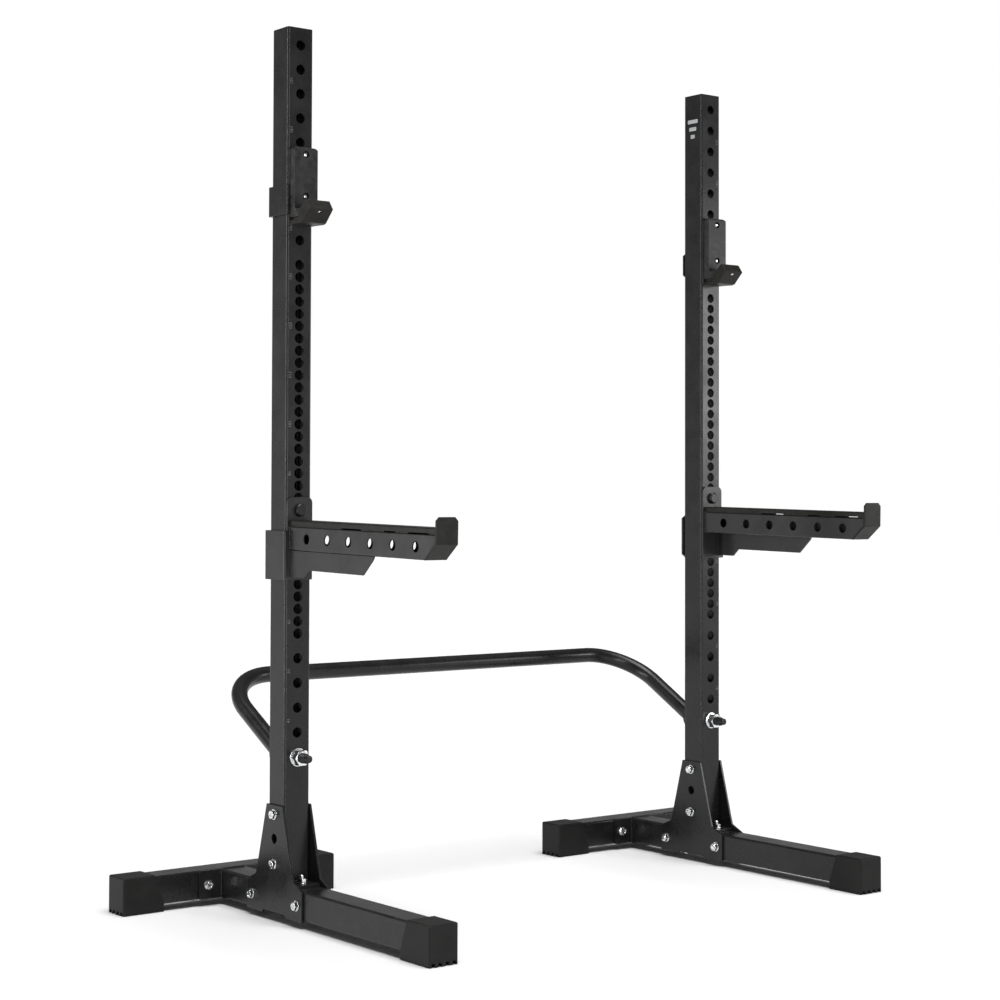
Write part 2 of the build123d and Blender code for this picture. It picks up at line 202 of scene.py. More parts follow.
# Polyester powder on steel: cures to a slightly rippled satin skin, so long
# faces show soft, uneven reflections and every edge carries a thin highlight.
# The ripple is drawn at 2.6 mm, coarser than the real 1 mm, so that it shows.
POWDER = Finish("satin_black_powder_coat", "powder_coat", "151516", "1e1e1f", roughness=0.28, rough_spread=0.05,
                grain_mm=2.6, grain_depth_mm=0.06, mottle_mm=60.0, specular=0.31)
# The same powder on the arm brackets and arm boxes, painted a lighter colour so that they look more brightly
# lit (painted light), and with more specular.
POWDER_PAINTED_LIGHTER = Finish("powder_coat_painted_lighter", "powder_coat", "1a1a1b", "232324", roughness=0.31,
                 rough_spread=0.05, grain_mm=2.4, grain_depth_mm=0.18, mottle_mm=45.0, specular=0.4)
# Moulded polypropylene: spark-eroded mould texture, duller than the steel.
FOOT = Finish("moulded_black_polypropylene", "foot_plastic", "181818", "1e1e1d", roughness=0.46,
              rough_spread=0.05, grain_mm=2.2, grain_depth_mm=0.14, mottle_mm=35.0, specular=0.14)
# Routed UHMW polyethylene: waxy, with scuffs and a faint machined grain.
LINER = Finish("routed_uhmw_polyethylene", "liner_polymer", "181818", "2b2b2c", roughness=0.4, rough_spread=0.1,
               grain_mm=2.4, grain_depth_mm=0.16, mottle_mm=16.0, specular=0.3)
# The arm's strip and stop are the same plastic, duller, and painted a darker colour so that they look shaded:
# painted shade.
LINER_PAINTED_DARKER = Finish("uhmw_polyethylene_painted_darker", "liner_polymer", "11110f", "1d1c19", roughness=0.45,
               rough_spread=0.08, grain_mm=2.4, grain_depth_mm=0.14, mottle_mm=20.0, specular=0.2)
# Cast polyurethane lip: a warmer black than the liner.
LIP = Finish("cast_polyurethane_lip", "liner_polymer", "151411", "201f1b", roughness=0.46, rough_spread=0.06,
             grain_mm=2.4, grain_depth_mm=0.1, mottle_mm=22.0, specular=0.16)
# Bright zinc on cold-forged steel: cool silver, dulled in patches, and the
# forging's small dents break each reflection into light and dark.
ZINC = Finish("bright_zinc_plate", "zinc", "f4f5f6", "d0d2d4", metallic=1.0, roughness=0.15, rough_spread=0.08,
              grain_mm=3.2, grain_depth_mm=0.22, mottle_mm=7.0)
# Oiled black oxide on a machined thread.
OXIDE = Finish("oiled_black_oxide", "black_oxide", "1d1d1e", "2b2b2c", metallic=0.4, roughness=0.3,
               rough_spread=0.08, grain_mm=1.2, grain_depth_mm=0.01, mottle_mm=10.0)
# Silver screen-printing ink, used for the plain bars.
INK = Finish("silver_screen_ink", "zinc", "a6a8aa", "939597", roughness=0.5, rough_spread=0.05,
             grain_mm=1.2, grain_depth_mm=0.01, mottle_mm=12.0)
# Laser-etched figures: the powder coat is only lightened, so they stay faint.
ETCH = Finish("laser_etched_powder_coat", "powder_coat", "6b6c6d", "565758", roughness=0.6, rough_spread=0.05,
              grain_mm=1.2, grain_depth_mm=0.02, mottle_mm=9.0)


# --- mesh helpers --------------------------------------------------------------


def publish(name: str, bm: BMesh, finish: Finish, body: str, replaces: tuple[str, ...] = (),
            sharp_deg: float = 32.0) -> Object:
    """Turns a bmesh into a finished piece that rides on a body.

    Args:
        name: Name of the piece.
        bm: Mesh, in the row frame, freed afterwards.
        finish: Finish that it gets.
        body: CAD body that it moves with.
        replaces: CAD nodes that it stands for.
        sharp_deg: Edges over this angle stay sharp in the shading.

    Returns:
        The new object, at the origin.
    """
    mesh = bpy.data.meshes.new(name)
    bm.normal_update()
    bm.to_mesh(mesh)
    bm.free()
    mesh.polygons.foreach_set("use_smooth", [True] * len(mesh.polygons))
    mesh.set_sharp_from_angle(angle=math.radians(sharp_deg))
    mesh.materials.append(finish.material())
    obj = bpy.data.objects.new(name, mesh)
    bpy.context.scene.collection.objects.link(obj)
    even = obj.modifiers.new("even_shading", "WEIGHTED_NORMAL")
    even.keep_sharp, even.weight = True, 100
    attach(obj, body)
    if replaces:
        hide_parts(*replaces)
    log.info("%s: %d faces on %s", name, len(mesh.polygons), body)
    return obj


def merged_copy(node: str) -> BMesh:
    """Copies a CAD node's mesh, joins its triangles and clears flat edges.

    Args:
        node: CAD node's name.

    Returns:
        A closed bmesh in the row frame.
    """
    bm = bmesh.new()
    bm.from_mesh(frame["nodes"][node].data)
    bmesh.ops.remove_doubles(bm, verts=bm.verts, dist=0.004 * MM)
    bmesh.ops.dissolve_limit(bm, angle_limit=math.radians(0.4), use_dissolve_boundaries=False,
                             verts=bm.verts, edges=bm.edges)
    return bm


def soften(bm: BMesh, radius_mm: float, over_deg: float = 28.0, segments: int = 2,
           longer_mm: float = 0.0) -> BMesh:
    """Bevels every edge that turns more than an angle.

    Args:
        bm: Mesh to change.
        radius_mm: Width of the bevel.
        over_deg: Edges that turn less are left.
        segments: Rows of faces in the bevel.
        longer_mm: Edges shorter than this are left.

    Returns:
        The same bmesh.
    """
    limit = math.radians(over_deg)
    edges = [e for e in bm.edges if len(e.link_faces) == 2 and e.calc_face_angle(0.0) > limit
             and e.calc_length() >= longer_mm * MM]
    if edges:
        bmesh.ops.bevel(bm, geom=edges, offset=radius_mm * MM, offset_type="OFFSET", segments=segments,
                        profile=0.5, affect="EDGES", clamp_overlap=True, material=-1)
    return bm


def body_of(node: str) -> str:
    """Name of the CAD body that holds a node."""
    return frame["nodes"][node]["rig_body"]


def refine(node: str, finish: Finish, radius_mm: float, segments: int = 2, sharp_deg: float = 32.0,
           long_radius_mm: float = 0.0) -> Object:
    """Replaces a CAD node with a copy whose edges are rounded.

    Args:
        node: CAD node's name.
        finish: Finish of the copy.
        radius_mm: Edge radius.
        segments: Rows of faces in the rounding.
        sharp_deg: Edges over this angle stay sharp in the shading.
        long_radius_mm: Radius of the long edges where it is larger, 0 where not.

    Returns:
        The new piece.
    """
    bm = merged_copy(node)
    if long_radius_mm:
        soften(bm, long_radius_mm, segments=4, longer_mm=100.0)
    soften(bm, radius_mm, segments=segments)
    return publish(node + "_skin", bm, finish, body_of(node), (node,), sharp_deg)


def centre(node: str) -> Vector:
    """Middle of a CAD node's box."""
    low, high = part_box(node)
    return (low + high) / 2


def facing(direction: Vector) -> Matrix:
    """Rotation that turns +Z to a direction."""
    return direction.to_track_quat("Z", "Y").to_matrix().to_4x4()


# --- parts of fasteners, welds and lettering --------------------------------------


def absorb(bm: BMesh, part: BMesh, place: Matrix = Matrix()) -> None:
    """Adds one bmesh to another at a place, and frees it.

    Args:
        bm: Mesh that receives the part.
        part: Mesh to add.
        place: Where the part's origin and axes go.
    """
    bmesh.ops.transform(part, matrix=place, verts=part.verts)
    held = bpy.data.meshes.new("held")
    part.to_mesh(held)
    part.free()
    bm.from_mesh(held)
    bpy.data.meshes.remove(held)


def stand_on(seat: Vector, out: Vector) -> Matrix:
    """Frame whose origin is on a seat and whose +Z points out of it."""
    return Matrix.Translation(seat) @ facing(out)


def islands(node: str) -> list[tuple[Vector, Vector]]:
    """Boxes of the separate solids in a CAD node.

    Args:
        node: CAD node's name.

    Returns:
        Lowest and highest corner of each solid.
    """
    bm = merged_copy(node)
    left, boxes = set(bm.verts), []
    while left:
        queue, found = [left.pop()], []
        while queue:
            vert = queue.pop()
            found.append(vert.co)
            near = {e.other_vert(vert) for e in vert.link_edges} & left
            left -= near
            queue.extend(near)
        boxes.append((Vector(map(min, *found)), Vector(map(max, *found))))
    bm.free()
    return boxes


@dataclass
class Cylinder:
    """A turned pin with a chamfer at its far end.

    Attributes:
        radius_mm: Radius.
        chamfer_mm: Width of the chamfer, 0 for none.
        segments: Faces round it.
    """

    radius_mm: float
    chamfer_mm: float = 0.0
    segments: int = 32

    def build(self, bm: BMesh, start: Vector, end: Vector) -> None:
        """Adds the pin between two points.

        Args:
            bm: Mesh that receives the pin.
            start: Centre of the first end.
            end: Centre of the end that may be chamfered.
        """
        part = bmesh.new()
        length, radius = (end - start).length, self.radius_mm * MM
        made = bmesh.ops.create_cone(part, cap_ends=True, segments=self.segments, radius1=radius,
                                     radius2=radius, depth=length)
        bmesh.ops.translate(part, verts=made["verts"], vec=(0, 0, length / 2))
        if self.chamfer_mm:
            rim = [e for e in part.edges if all(v.co.z > length * 0.999 for v in e.verts)]
            bmesh.ops.bevel(part, geom=rim, offset=self.chamfer_mm * MM, offset_type="OFFSET", segments=1,
                            profile=0.5, affect="EDGES", clamp_overlap=True, material=-1)
        absorb(bm, part, stand_on(start, end - start))


@dataclass
class Thread:
    """A rolled external thread: a closed ridge spun up a core.

    Attributes:
        radius_mm: Crest radius.
        pitch_mm: Distance between crests.
        steps: Faces round one turn.
    """

    radius_mm: float
    pitch_mm: float
    steps: int = 28

    def build(self, bm: BMesh, start: Vector, end: Vector) -> None:
        """Adds the thread and its core between two points.

        Args:
            bm: Mesh that receives the thread.
            start: Centre of the first end.
            end: Centre of the second end.
        """
        part = bmesh.new()
        pitch, crest = self.pitch_mm * MM, self.radius_mm * MM
        root = crest - 0.58 * pitch
        length = (end - start).length
        turns = max(1, int(length / pitch) - 1)
        chain = [part.verts.new((r, 0, z)) for r, z in
                 ((root - 0.1 * pitch, 0.04 * pitch), (crest, 0.42 * pitch), (crest, 0.56 * pitch),
                  (root - 0.1 * pitch, 0.94 * pitch))]
        edges = [part.edges.new(pair) for pair in zip(chain, [*chain[1:], chain[0]])]
        last = bmesh.ops.spin(part, geom=[*chain, *edges], cent=(0, 0, 0), axis=(0, 0, 1),
                              dvec=(0, 0, pitch / self.steps), angle=math.tau * turns,
                              steps=self.steps * turns, use_merge=False)["geom_last"]
        bmesh.ops.contextual_create(part, geom=chain)
        bmesh.ops.contextual_create(part, geom=[v for v in last if isinstance(v, BMVert)])
        bmesh.ops.recalc_face_normals(part, faces=part.faces)
        absorb(bm, part, stand_on(start, end - start))
        Cylinder(self.radius_mm - 0.57 * self.pitch_mm, 0.6, self.steps).build(bm, start, end)


@dataclass
class Hexagon:
    """A hexagon milled from a turned blank, for bolt heads and nuts.

    Attributes:
        flats_mm: Width across the flats.
        height_mm: Thickness.
        sink_mm: Radius of the recess in the free face, 0 for none.
        sink_depth_mm: Depth and side slope of the recess.
    """

    flats_mm: float
    height_mm: float
    sink_mm: float = 0.0
    sink_depth_mm: float = 1.0

    def build(self, bm: BMesh, seat: Vector, out: Vector) -> None:
        """Adds the hexagon standing on a seat.

        Args:
            bm: Mesh that receives it.
            seat: Centre of the face that bears on the joint.
            out: Direction from the seat to the free face.
        """
        part = bmesh.new()
        flat, height = self.flats_mm / 2 * MM, self.height_mm * MM
        corner = flat * 2 / math.sqrt(3)
        blank = bmesh.ops.create_cone(part, cap_ends=True, segments=36, radius1=corner, radius2=corner,
                                      depth=height)["verts"]
        bmesh.ops.translate(part, verts=blank, vec=(0, 0, height / 2))
        crown = max(part.faces, key=lambda f: f.calc_center_median().z)
        rim = list(crown.verts)
        turned = (corner - flat) * 1.25
        bmesh.ops.inset_individual(part, faces=[crown], thickness=turned, depth=0.0)
        bmesh.ops.translate(part, verts=rim, vec=(0, 0, -turned * math.tan(math.radians(30))))
        if self.sink_mm:
            wide = flat * 0.97 - self.sink_mm * MM
            bmesh.ops.inset_individual(part, faces=[crown], thickness=max(wide, 0.1 * MM), depth=0.0)
            bmesh.ops.inset_individual(part, faces=[crown], thickness=self.sink_depth_mm * MM,
                                         depth=-self.sink_depth_mm * MM)
        for k in range(6):
            normal = Matrix.Rotation(math.radians(60 * k + 30), 3, "Z") @ Vector((1, 0, 0))
            cut = bmesh.ops.bisect_plane(part, geom=[*part.verts, *part.edges, *part.faces], dist=1e-7,
                                         plane_co=normal * flat, plane_no=normal, clear_outer=True)["geom_cut"]
            bmesh.ops.contextual_create(part, geom=[e for e in cut if isinstance(e, BMEdge)])
        bmesh.ops.remove_doubles(part, verts=part.verts, dist=0.005 * MM)
        bmesh.ops.recalc_face_normals(part, faces=part.faces)
        absorb(bm, part, stand_on(seat, out))


@dataclass
class Weld:
    """A bead of overlapping puddles along a straight joint.

    Attributes:
        radius_mm: Radius of a puddle.
        pitch_mm: Distance between puddles.
    """

    radius_mm: float = 3.0
    pitch_mm: float = 2.6

    def build(self, bm: BMesh, start: Vector, end: Vector) -> None:
        """Adds one bead.

        Args:
            bm: Mesh that receives the bead.
            start: First end of the joint's line.
            end: Last end of the joint's line.
        """
        count = max(2, round((end - start).length / (self.pitch_mm * MM)))
        turn = facing(end - start)
        for i in range(count + 1):
            part = bmesh.new()
            size = self.radius_mm * (1.0 + 0.07 * math.sin(i * 2.3)) * MM
            bmesh.ops.create_icosphere(part, subdivisions=2, radius=size)
            bmesh.ops.scale(part, verts=part.verts, vec=(1, 1, 0.72))
            absorb(bm, part, Matrix.Translation(start.lerp(end, i / count)) @ turn)


def lettering(text: str, height_mm: float, proud_mm: float) -> BMesh:
    """Makes generic figures as thin raised ink.

    Args:
        text: Figures to set.
        height_mm: Height of a figure.
        proud_mm: Thickness of the ink.

    Returns:
        A bmesh centred on the origin, read from +Z.
    """
    curve = bpy.data.curves.new("figures", "FONT")
    curve.body, curve.align_x, curve.align_y = text, "CENTER", "CENTER"
    curve.size, curve.extrude, curve.resolution_u = height_mm * 1.4 * MM, proud_mm / 2 * MM, 3
    obj = bpy.data.objects.new("figures", curve)
    bpy.context.scene.collection.objects.link(obj)
    mesh = bpy.data.meshes.new_from_object(obj)
    bm = bmesh.new()
    bm.from_mesh(mesh)
    bmesh.ops.remove_doubles(bm, verts=bm.verts, dist=0.002 * MM)
    bpy.data.objects.remove(obj)
    bpy.data.curves.remove(curve)
    bpy.data.meshes.remove(mesh)
    return bm


# --- sub-assemblies ------------------------------------------------------------------


@dataclass
class Fasteners:
    """The bolts, nuts, washers and stud of one stand.

    Attributes:
        side: Which stand.
        flats_mm: Across the flats of the M10 bolts and nuts.
        head_mm: Thickness of a bolt's head.
        shank_mm: Radius of a bolt.
        pitch_mm: Thread pitch of a bolt.
        thread_mm: Length of thread that is cut on a bolt.
        dish_mm: Radius of the dish forged in a bolt's head.
        stud_mm: Radius of the stud.
        stud_pitch_mm: Thread pitch of the stud.
        stud_dog_mm: Radius of the stud's plain end.
        stud_dog_long_mm: Length of the stud's plain end.
        stud_flats_mm: Across the flats of the stud's nut.
    """

    side: Side
    flats_mm: float = 16.0
    head_mm: float = 6.5
    shank_mm: float = 5.0
    pitch_mm: float = 1.5
    thread_mm: float = 12.0
    dish_mm: float = 4.6
    stud_mm: float = 10.0
    stud_pitch_mm: float = 2.5
    stud_dog_mm: float = 7.5
    stud_dog_long_mm: float = 8.0
    stud_flats_mm: float = 30.0

    def bolts(self, name: str, out: Vector) -> None:
        """Builds hexagon bolts in place of a CAD node.

        Args:
            name: Node's name without its side.
            out: Direction that the heads face.
        """
        bm = bmesh.new()
        node = name + self.side.value
        for low, high in islands(node):
            mid, half = (low + high) / 2, abs((high - low).dot(out)) / 2
            seat = mid + out * (half - self.head_mm * MM)
            tip = mid - out * half
            Hexagon(self.flats_mm, self.head_mm, self.dish_mm).build(bm, seat, out)
            self.dashes(bm, seat + out * (self.head_mm - Hexagon.sink_depth_mm) * MM, out)
            runout = tip + out * self.thread_mm * MM
            Cylinder(self.shank_mm - 0.1).build(bm, seat, runout)
            Thread(self.shank_mm, self.pitch_mm, 20).build(bm, runout, tip)
        publish(name + "_turned" + self.side.value, bm, ZINC, "frame", (node,))

    def dashes(self, bm: BMesh, at: Vector, out: Vector) -> None:
        """Forges three plain radial dashes in a head's dish.

        Args:
            bm: Mesh that receives them.
            at: Centre of the dish's floor.
            out: Direction that the head faces.
        """
        for turn in range(3):
            part = bmesh.new()
            bmesh.ops.create_cube(part, size=1.0)
            bmesh.ops.scale(part, verts=part.verts, vec=(2.6 * MM, 0.9 * MM, 0.8 * MM))
            bmesh.ops.translate(part, verts=part.verts, vec=(2.2 * MM, 0, 0.1 * MM))
            absorb(bm, part, stand_on(at, out) @ Matrix.Rotation(math.radians(120 * turn), 4, "Z"))

    def nuts(self) -> None:
        """Builds the nuts, each standing on the side that its bolt comes out of."""
        bm = bmesh.new()
        node = "nuts" + self.side.value
        away = (Vector((-self.side.out, 0, 0)), Vector((0, 1, 0)), Vector((0, 0, 1)))
        for low, high in islands(node):
            size = high - low
            thin = min(range(3), key=lambda i: size[i])
            out = away[thin]
            seat = (low + high) / 2 - out * size[thin] / 2
            Hexagon(self.flats_mm, size[thin] / MM, self.shank_mm + 1.0).build(bm, seat, out)
        publish("nuts_milled" + self.side.value, bm, ZINC, "frame", (node,))

    def stud(self) -> None:
        """Builds the threaded stud and its nut."""
        tail = self.side.value
        low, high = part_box("stud" + tail)
        mid = (low + high) / 2
        nut_low, nut_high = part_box("stud_nut" + tail)
        bm = bmesh.new()
        at = Vector((mid.x, 0, mid.z))
        y = Vector((0, 1, 0))
        shoulder = low.y + self.stud_dog_long_mm * MM
        Thread(self.stud_mm, self.stud_pitch_mm).build(bm, at + y * (nut_high.y + 2 * MM), at + y * shoulder)
        Cylinder(self.stud_dog_mm, 1.5).build(bm, at + y * (shoulder + 1 * MM), at + y * low.y)
        Cylinder(self.stud_mm - 0.1).build(bm, at + y * (nut_high.y + 1 * MM), at + y * high.y)
        publish("stud_threaded" + tail, bm, OXIDE, "frame", ("stud" + tail,))
        bm = bmesh.new()
        nut = Hexagon(self.stud_flats_mm, (nut_high.y - nut_low.y) / MM, self.stud_mm + 0.8)
        nut.build(bm, at + y * nut_high.y, -y)
        publish("stud_nut_milled" + tail, bm, ZINC, "frame", ("stud_nut" + tail,))

    def build(self) -> None:
        """Builds every fastener of the stand."""
        tail = self.side.value
        self.bolts("gusset_bolts", Vector((self.side.out, 0, 0)))
        self.bolts("flange_bolts", Vector((0, -1, 0)))
        self.bolts("base_bolts", Vector((0, 0, -1)))
        self.nuts()
        self.stud()
        refine("washers" + tail, ZINC, 0.35)
        refine("stud_washer" + tail, ZINC, 0.5)


@dataclass
class Stand:
    """One upright with its foot: tubes, plates, caps, welds and figures.

    Attributes:
        side: Which stand.
        plate_edge_mm: Rounding left on laser-cut plate edges.
        tube_edge_mm: Rounding at drilled holes and sawn tube ends.
        cap_edge_mm: Rounding of the moulded caps.
        figure_mm: Height of the printed figures.
        figure_step_mm: Distance between printed figures.
        figure_top_mm: Height of the top figure above the floor.
        figure_count: How many figures are printed.
        figure_aside_mm: Distance from the holes' line to the figures.
        bars_mm: Length of each plain bar, from the top one down.
        bar_mm: Height of a bar.
        bar_step_mm: Distance between bars.
        bar_top_mm: Distance from the upright's end to the top bar.
    """

    side: Side
    plate_edge_mm: float = 0.7
    tube_edge_mm: float = 0.5
    cap_edge_mm: float = 1.6
    figure_mm: float = 7.0
    figure_step_mm: float = 100.0
    figure_top_mm: float = 1706.0
    figure_count: int = 14
    figure_aside_mm: float = 21.0
    bars_mm: tuple[float, ...] = (34.0, 24.0, 14.0)
    bar_mm: float = 9.0
    bar_step_mm: float = 18.0
    bar_top_mm: float = 60.0

    def node(self, name: str) -> str:
        """Full name of this stand's node."""
        return name + self.side.value

    def figures(self) -> None:
        """Prints the height in centimetres beside the holes, read upwards."""
        bm = bmesh.new()
        low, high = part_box(self.node("upright"))
        x = (low.x + high.x) / 2 + self.side.out * self.figure_aside_mm * MM
        for i in range(self.figure_count):
            z = self.figure_top_mm - i * self.figure_step_mm
            upright = Matrix.Rotation(math.radians(90), 4, "X") @ Matrix.Rotation(math.radians(90), 4, "Z")
            absorb(bm, lettering(str(round(z / 10)), self.figure_mm, 0.12),
                   Matrix.Translation((x, low.y - 0.04 * MM, z * MM)) @ upright)
        publish("height_figures" + self.side.value, bm, ETCH, "frame")

    def stripes(self) -> None:
        """Prints three plain bars on the inner face, near the top."""
        bm = bmesh.new()
        low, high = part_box(self.node("upright"))
        inner = high.x if self.side is Side.LEFT else low.x
        for i, length_mm in enumerate(self.bars_mm):
            part = bmesh.new()
            bmesh.ops.create_cube(part, size=1.0)
            bmesh.ops.scale(part, verts=part.verts, vec=(0.1 * MM, length_mm * MM, self.bar_mm * MM))
            corners = [e for e in part.edges if abs((e.verts[0].co - e.verts[1].co).x) > 0.05 * MM]
            bmesh.ops.bevel(part, geom=corners, offset=2.0 * MM, offset_type="OFFSET", segments=4,
                            profile=0.5, affect="EDGES", material=-1)
            absorb(bm, part, Matrix.Translation((inner - self.side.out * 0.04 * MM, (low.y + high.y) / 2,
                                                 high.z - (self.bar_top_mm + self.bar_step_mm * i) * MM)))
        publish("plain_bars" + self.side.value, bm, INK, "frame")

    def welds(self) -> None:
        """Lays the beads where the stem and upright meet their plates."""
        bm = bmesh.new()
        bead = Weld()
        low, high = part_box(self.node("stem"))
        y, inset = high.y - 0.6 * MM, 5 * MM
        for x in (low.x, high.x):
            bead.build(bm, Vector((x, y, low.z + inset)), Vector((x, y, high.z - inset)))
        for z in (low.z, high.z):
            bead.build(bm, Vector((low.x + inset, y, z)), Vector((high.x - inset, y, z)))
        up_low, up_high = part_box(self.node("upright"))
        z = up_low.z + 0.6 * MM
        for y in (up_low.y, up_high.y):
            bead.build(bm, Vector((up_low.x + inset, y, z)), Vector((up_high.x - inset, y, z)))
        publish("stand_welds" + self.side.value, bm, POWDER, "frame")

    def build(self) -> None:
        """Builds every piece of the stand."""
        for name in ("upright", "stem", "rear_beam"):
            refine(self.node(name), POWDER, self.tube_edge_mm)
        for name in ("stem_flange", "gusset_out", "gusset_in", "base_plate"):
            refine(self.node(name), POWDER, self.plate_edge_mm)
        refine(self.node("top_cap"), FOOT, 0.8)
        for name in ("front_foot", "rear_foot_out", "rear_foot_in"):
            refine(self.node(name), FOOT, self.cap_edge_mm, segments=3)
        self.welds()
        self.figures()
        self.stripes()
        Fasteners(self.side).build()


@dataclass
class JHook:
    """One J-hook: bracket, liner, lip, pin and screws.

    Attributes:
        side: Which stand it hangs on.
        crown_mm: Radius of a liner screw's crown.
        crown_flat: Crown's height over its radius.
        socket_mm: Width of the driver's recess.
        long_screw_mm: Screws shorter than this hold the lip and have no crown.
    """

    side: Side
    crown_mm: float = 4.6
    crown_flat: float = 0.52
    socket_mm: float = 4.2
    long_screw_mm: float = 11.0

    def crowns(self) -> None:
        """Crowns the two liner screws with a driver's recess in each."""
        bm = bmesh.new()
        for low, high in islands("hook_screws" + self.side.value):
            if high.y - low.y < self.long_screw_mm * MM:
                continue
            part = bmesh.new()
            bmesh.ops.create_uvsphere(part, u_segments=24, v_segments=12, radius=self.crown_mm * MM)
            bmesh.ops.scale(part, verts=part.verts, vec=(1, 1, self.crown_flat))
            middle = Vector(((low.x + high.x) / 2, low.y + 0.6 * MM, (low.z + high.z) / 2))
            front = Vector((0, -1, 0))
            absorb(bm, part, stand_on(middle, front))
            Hexagon(self.socket_mm, 0.5).build(bm, middle + front * 2.1 * MM, front)
        publish("hook_screw_crowns" + self.side.value, bm, ZINC, "hook" + self.side.value)

    def build(self) -> None:
        """Builds every piece of the hook."""
        tail = self.side.value
        refine("hook_bracket" + tail, POWDER, 0.8)
        refine("hook_liner" + tail, LINER, 1.4, segments=3)
        refine("hook_lip" + tail, LIP, 2.0, segments=3)
        refine("hook_pin" + tail, POWDER, 0.6)
        refine("hook_screws" + tail, ZINC, 1.4, segments=4, sharp_deg=50)
        self.crowns()


@dataclass
class SpotterArm:
    """One spotter arm: bracket, box, liner, end stop, pin and welds.

    Attributes:
        side: Which stand it hangs on.
        droop_deg: Angle below level.
        strip_mm: Height of the liner strip over the box.
        beam_mm: Height of the box between its weld lines.
        web_mm: Thickness of the web under the box.
        stitches_mm: Start and end of each weld stitch, from the plate.
    """

    side: Side
    droop_deg: float = 1.0
    strip_mm: float = 13.0
    beam_mm: float = 47.0
    web_mm: float = 5.0
    stitches_mm: tuple[tuple[float, float], ...] = ((48, 92), (150, 196), (250, 292))

    def welds(self) -> None:
        """Lays the bead round the box and the stitches under it."""
        tail = self.side.value
        bm = bmesh.new()
        low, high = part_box("arm_beam" + tail)
        y = high.y - 0.5 * MM
        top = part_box("arm_liner" + tail)[1].z - self.strip_mm * MM
        bottom = top - self.beam_mm * MM
        bead = Weld(2.4, 2.2)
        for x in (low.x, high.x):
            bead.build(bm, Vector((x, y, bottom + 1 * MM)), Vector((x, y, top - 1 * MM)))
        bead.build(bm, Vector((low.x + 2 * MM, y, top)), Vector((high.x - 2 * MM, y, top)))
        inner_face = (low.x if self.side is Side.LEFT else high.x) - self.side.out * (self.web_mm + 0.4) * MM
        fall = math.tan(math.radians(self.droop_deg))
        below = bottom - 0.8 * MM
        for stitch in self.stitches_mm:
            near, far = (-away * MM for away in stitch)
            bead.build(bm, Vector((inner_face, y + near, below + near * fall)),
                       Vector((inner_face, y + far, below + far * fall)))
        publish("arm_welds" + tail, bm, POWDER, "arm" + tail)

    def build(self) -> None:
        """Builds every piece of the arm."""
        tail = self.side.value
        # The arm's bracket and box take the powder painted lighter: painted light.
        refine("arm_bracket" + tail, POWDER_PAINTED_LIGHTER, 0.8)
        refine("arm_beam" + tail, POWDER_PAINTED_LIGHTER, 0.5, long_radius_mm=2.6)
        # The arm's strip and stop take the plastic painted darker: painted shade.
        refine("arm_liner" + tail, LINER_PAINTED_DARKER, 0.8)
        refine("arm_stop" + tail, LINER_PAINTED_DARKER, 0.9)
        refine("arm_pin" + tail, POWDER, 0.8, segments=3)
        self.welds()


@dataclass
class RearBar:
    """The U-shaped tube behind the stands, with its end bosses."""

    edge_mm: float = 0.8

    def build(self) -> None:
        """Builds the bar and its bosses."""
        refine("u_bar", POWDER, self.edge_mm, sharp_deg=40)
        refine("u_bar_bosses", POWDER, self.edge_mm)


# --- stage ---------------------------------------------------------------------------


@dataclass
class Camera:
    """The camera, placed from the upright's centre line.

    Attributes:
        place: Position in metres; Y is counted from the uprights' centre plane.
        heading_deg: Turn from +Y towards -X.
        tilt_deg: Angle above the horizon.
        roll_deg: Roll about the view axis.
        focal_permille: Focal length in thousandths of the frame's width.
        shift: Lens shift, in frame widths.
    """

    place: tuple[float, float, float] = (-2.8601, -3.6344, 0.8671)
    heading_deg: float = -38.036
    tilt_deg: float = 1.518
    roll_deg: float = 0.148
    focal_permille: float = 2087.98
    shift: tuple[float, float] = (-0.00616, -0.0623)

    def build(self) -> None:
        """Creates the camera and makes it the scene's."""
        data = bpy.data.cameras.new("camera")
        data.sensor_width = 36.0
        data.lens = self.focal_permille / 1000 * 36.0
        data.shift_x, data.shift_y = self.shift
        data.clip_start, data.clip_end = 0.1, 60.0
        cam = bpy.data.objects.new("camera", data)
        bpy.context.scene.collection.objects.link(cam)
        yaw, tilt, roll = (math.radians(a) for a in (self.heading_deg, self.tilt_deg, self.roll_deg))
        ahead = Vector((-math.sin(yaw) * math.cos(tilt), math.cos(yaw) * math.cos(tilt), math.sin(tilt)))
        right = Vector((math.cos(yaw), math.sin(yaw), 0.0))
        above = right.cross(ahead)
        right, above = (right * math.cos(roll) + above * math.sin(roll),
                        above * math.cos(roll) - right * math.sin(roll))
        turn = Matrix((right, above, -ahead)).transposed().to_4x4()
        origin = Vector((0.0, centre("upright_l").y, 0.0))
        cam.matrix_world = Matrix.Translation(origin + Vector(self.place)) @ turn
        bpy.context.scene.camera = cam


